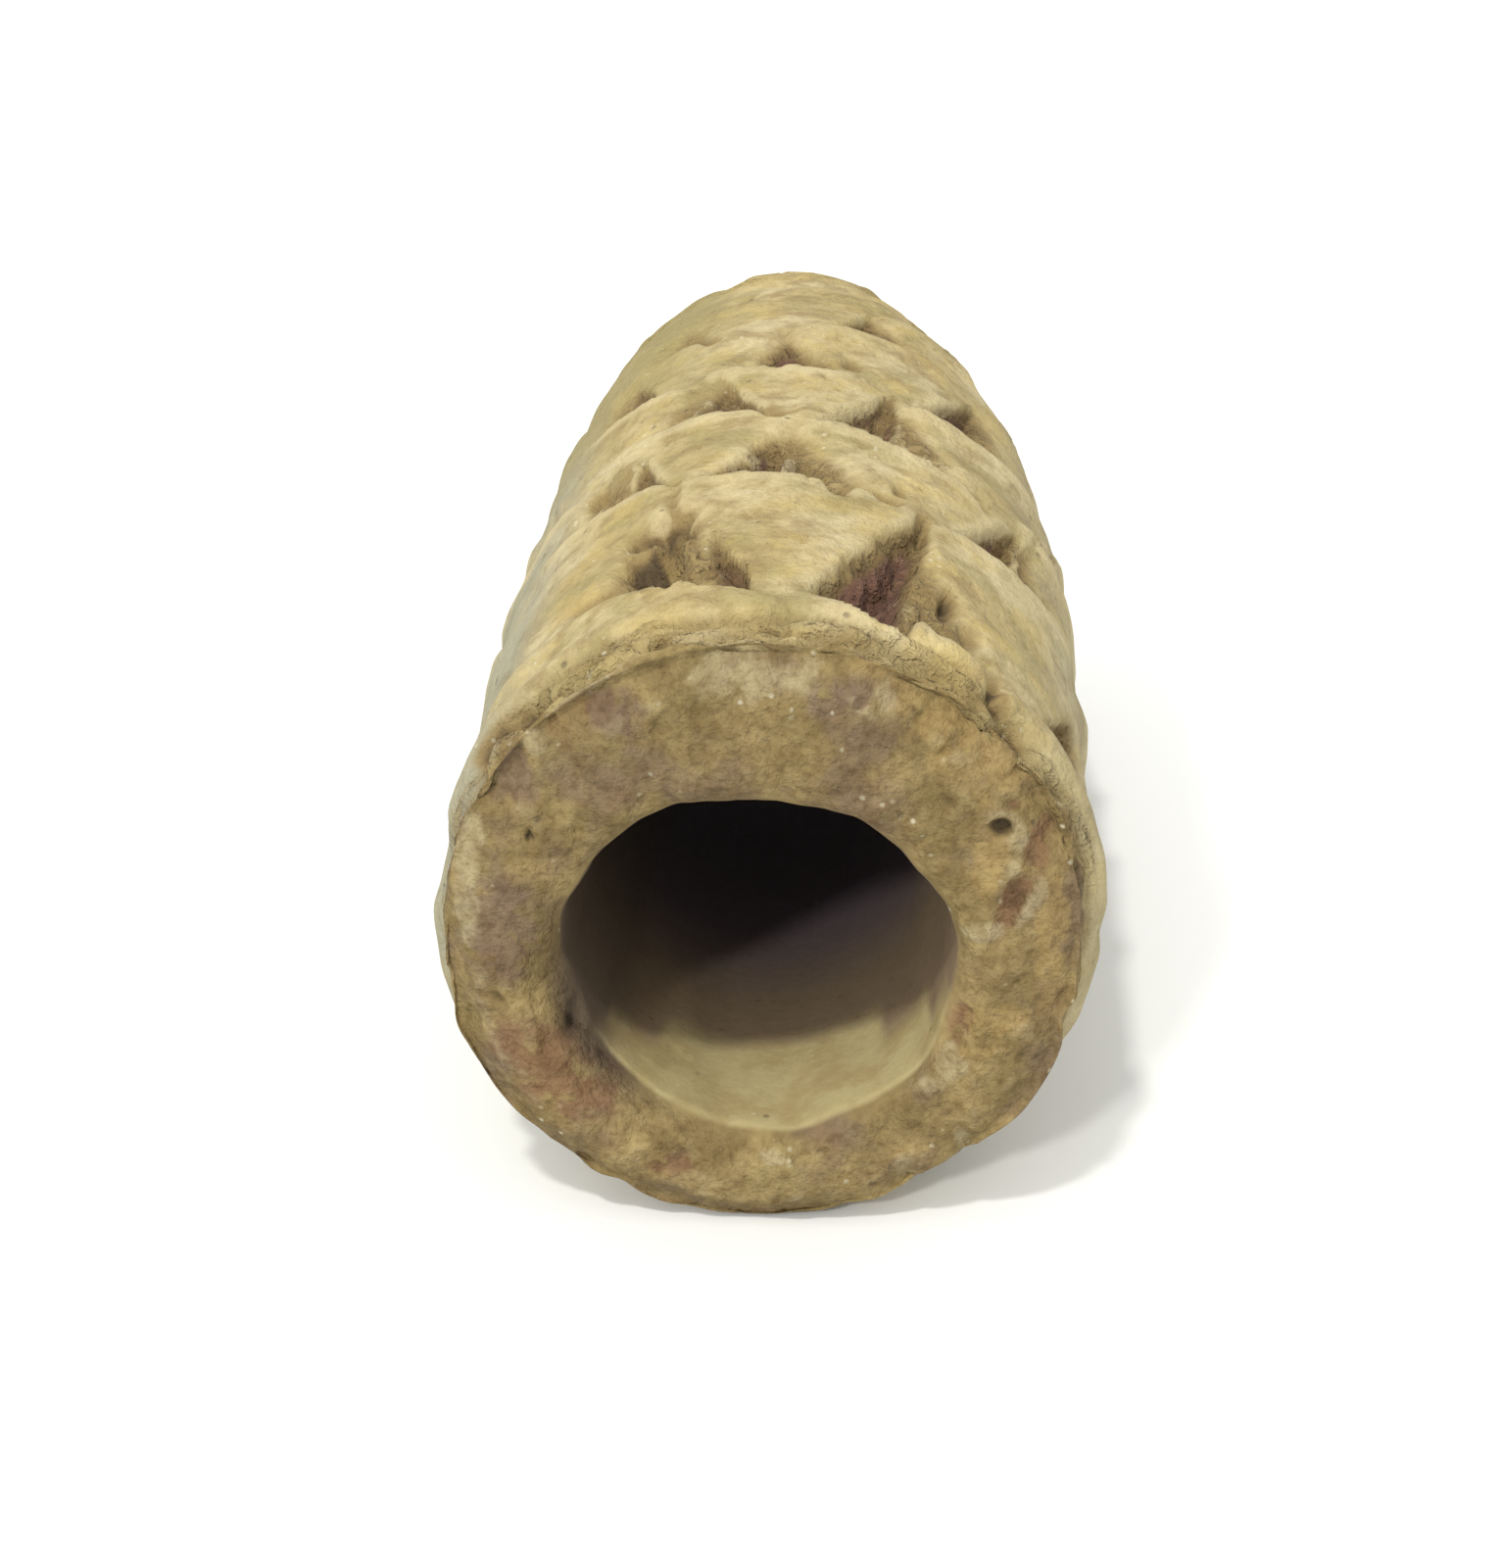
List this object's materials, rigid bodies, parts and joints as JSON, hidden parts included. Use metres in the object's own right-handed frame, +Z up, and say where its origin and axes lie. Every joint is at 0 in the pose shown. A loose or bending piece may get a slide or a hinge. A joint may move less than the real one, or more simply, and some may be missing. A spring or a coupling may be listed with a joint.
{
  "type": "cylinder seal",
  "caption": "Hollow fired-clay cylinder seal lying on its side, with a wide bore and staggered rows of three-sided notches carved round its wall.",
  "frame": {"origin": "bottom centre of the bounding box, on the surface that the seal lies on", "axes": "+Y along the seal's axis, from the front end to the back end; +Z up"},
  "size_m": [0.0298, 0.072, 0.0289],
  "materials": {
    "fired_clay": "matt unglazed fired clay, sandy tan to olive brown, with purple-brown stains in the notches"
  },
  "bodies": {
    "root": {"cylinder_seal": "fired_clay"}
  },
  "joints": []
}
